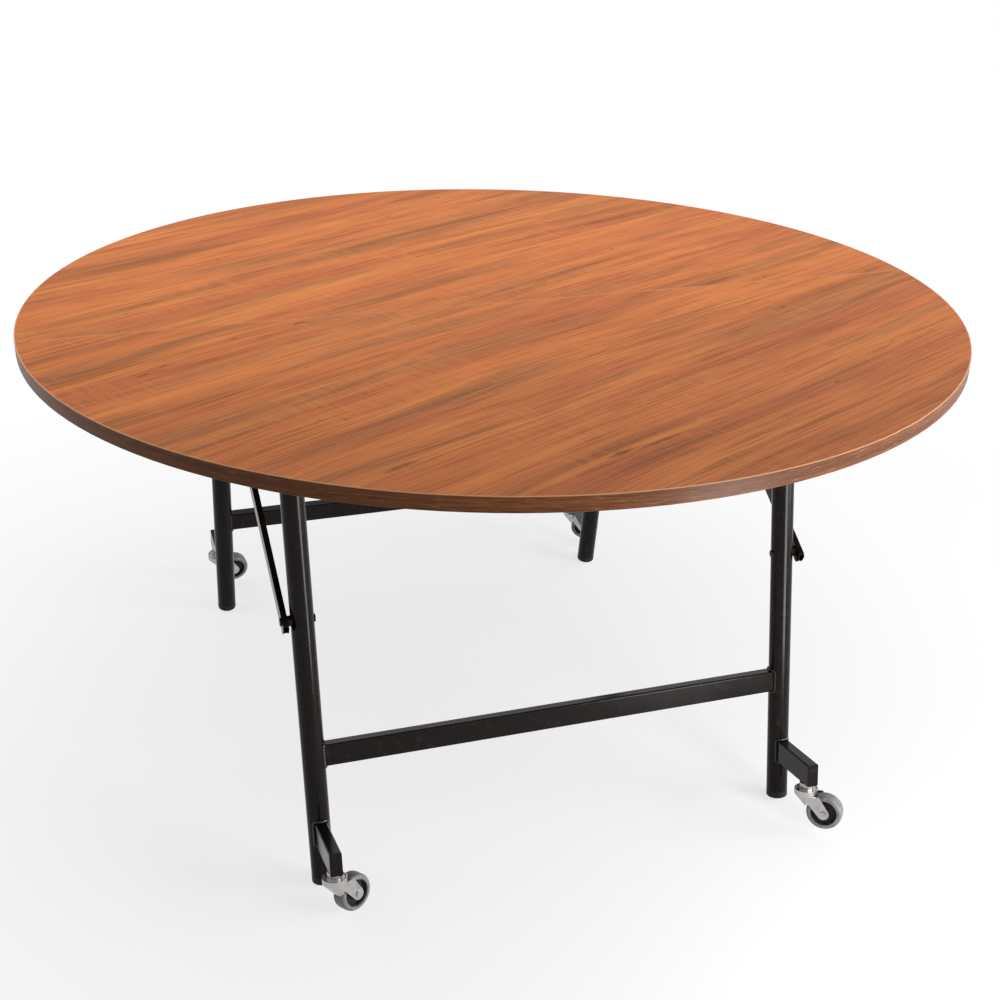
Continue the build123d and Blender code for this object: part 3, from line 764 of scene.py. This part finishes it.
class TABLE_OT_studio(Operator):
    """Set up the pale floor, the soft lights, the white room and the camera."""
    bl_idname = "table.studio"
    bl_label = "Studio"

    def execute(self, context):
        scene = context.scene
        settings = scene.table_stage
        self.floor(scene, settings)
        self.room(scene, settings)
        for name, light in LIGHTS.items():
            self.area_light(scene, f"{name}_light", power=getattr(settings, name), **light)
        self.camera(scene)
        scene.view_settings.view_transform = "Standard"
        return {"FINISHED"}

    def floor(self, scene, settings):
        """A wide pale floor that keeps the table's shadow and fades to plain white further off."""
        mesh = bpy.data.meshes.new("floor")
        shape = bmesh.new()
        bmesh.ops.create_circle(shape, cap_ends=True, segments=FLOOR_SIDES, radius=FLOOR_RADIUS)
        shape.to_mesh(mesh)
        shape.free()
        mesh.materials.append(self.floor_paint(settings))
        floor = bpy.data.objects.new("floor", mesh)
        scene.collection.objects.link(floor)

    def floor_paint(self, settings):
        """Pale matt paint, mixed with plain white where it is seen and not where it lights the table."""
        material, tree, shader = new_material("studio_floor_paint")
        fill(shader, {"Base Color": (*settings.floor, 1.0), "Roughness": 0.8, "Specular IOR Level": 0.1})
        place = add_node(tree, "ShaderNodeTexCoord").outputs["Object"]
        distance = add_node(tree, "ShaderNodeVectorMath", {0: place}, operation="LENGTH").outputs["Value"]
        white_share = add_node(tree, "ShaderNodeMapRange", {
            "Value": distance, "From Min": FADE_STARTS, "From Max": FADE_ENDS,
            "To Min": NEAR_WHITE_SHARE, "To Max": 1.0}, interpolation_type="SMOOTHSTEP").outputs[0]
        factor = add_node(tree, "ShaderNodeMath", {0: white_share, 1: seen_plain(tree)},
                          operation="MULTIPLY")
        white = add_node(tree, "ShaderNodeEmission", {"Strength": 1.0})
        mixed = add_node(tree, "ShaderNodeMixShader", {
            0: factor.outputs[0], 1: shader.outputs[0], 2: white.outputs[0]})
        fill(tree.nodes["Material Output"], {"Surface": mixed.outputs[0]})
        return material

    def room(self, scene, settings):
        """A white room that is plain white to the eye and a soft light to the table."""
        world = bpy.data.worlds.new("white_room")
        world.use_nodes = True
        tree = world.node_tree
        strength = add_node(tree, "ShaderNodeMapRange", {
            "Value": seen_plain(tree), "To Min": settings.ambient, "To Max": 1.0}).outputs[0]
        fill(tree.nodes["Background"], {"Color": (1, 1, 1, 1), "Strength": strength})
        scene.world = world

    def area_light(self, scene, name, place, aim, width, height, power):
        """A soft rectangle of light turned to a point."""
        data = bpy.data.lights.new(name, "AREA")
        data.shape = "RECTANGLE"
        data.energy = power
        data.size = width
        data.size_y = height
        light = bpy.data.objects.new(name, data)
        light.location = place
        light.rotation_euler = (Vector(aim) - Vector(place)).to_track_quat("-Z", "Y").to_euler()
        scene.collection.objects.link(light)

    def camera(self, scene):
        """The camera at the photograph's place, turn and framing."""
        camera = bpy.data.objects.new("camera", bpy.data.cameras.new("camera"))
        camera.location = CAMERA_PLACE
        camera.rotation_euler = CAMERA_TURN
        camera.data.sensor_width = SENSOR
        camera.data.lens = CAMERA_LENS
        camera.data.shift_x, camera.data.shift_y = CAMERA_SHIFT
        camera.data.dof.use_dof = False
        scene.collection.objects.link(camera)
        scene.camera = camera


class TABLE_PT_panel(Panel):
    """Lists the table's pieces and their settings in the sidebar."""
    bl_idname = "TABLE_PT_panel"
    bl_label = "Folding table"
    bl_space_type = "VIEW_3D"
    bl_region_type = "UI"
    bl_category = "Table"

    def draw(self, context):
        for operator in OPERATORS:
            self.layout.operator(operator.bl_idname)
        for group in (context.scene.table_laminate, context.scene.table_steel, context.scene.table_stage):
            box = self.layout.box()
            for name in group.__annotations__:
                box.prop(group, name)


OPERATORS = (TABLE_OT_tops, TABLE_OT_steelwork, TABLE_OT_welds, TABLE_OT_screws, TABLE_OT_casters,
             TABLE_OT_studio)
GROUPS = {"table_laminate": LaminateSettings, "table_steel": SteelSettings, "table_stage": StageSettings}


def register():
    for name, group in GROUPS.items():
        bpy.utils.register_class(group)
        setattr(bpy.types.Scene, name, PointerProperty(type=group))
    for cls in (*OPERATORS, TABLE_PT_panel):
        bpy.utils.register_class(cls)


def unregister():
    for cls in (TABLE_PT_panel, *reversed(OPERATORS)):
        bpy.utils.unregister_class(cls)
    for name, group in GROUPS.items():
        delattr(bpy.types.Scene, name)
        bpy.utils.unregister_class(group)


def main():
    register()
    bpy.ops.table.tops()
    bpy.ops.table.steelwork()
    bpy.ops.table.welds()
    bpy.ops.table.screws()
    bpy.ops.table.casters()
    bpy.ops.table.studio()


if __name__ == "__main__":
    main()
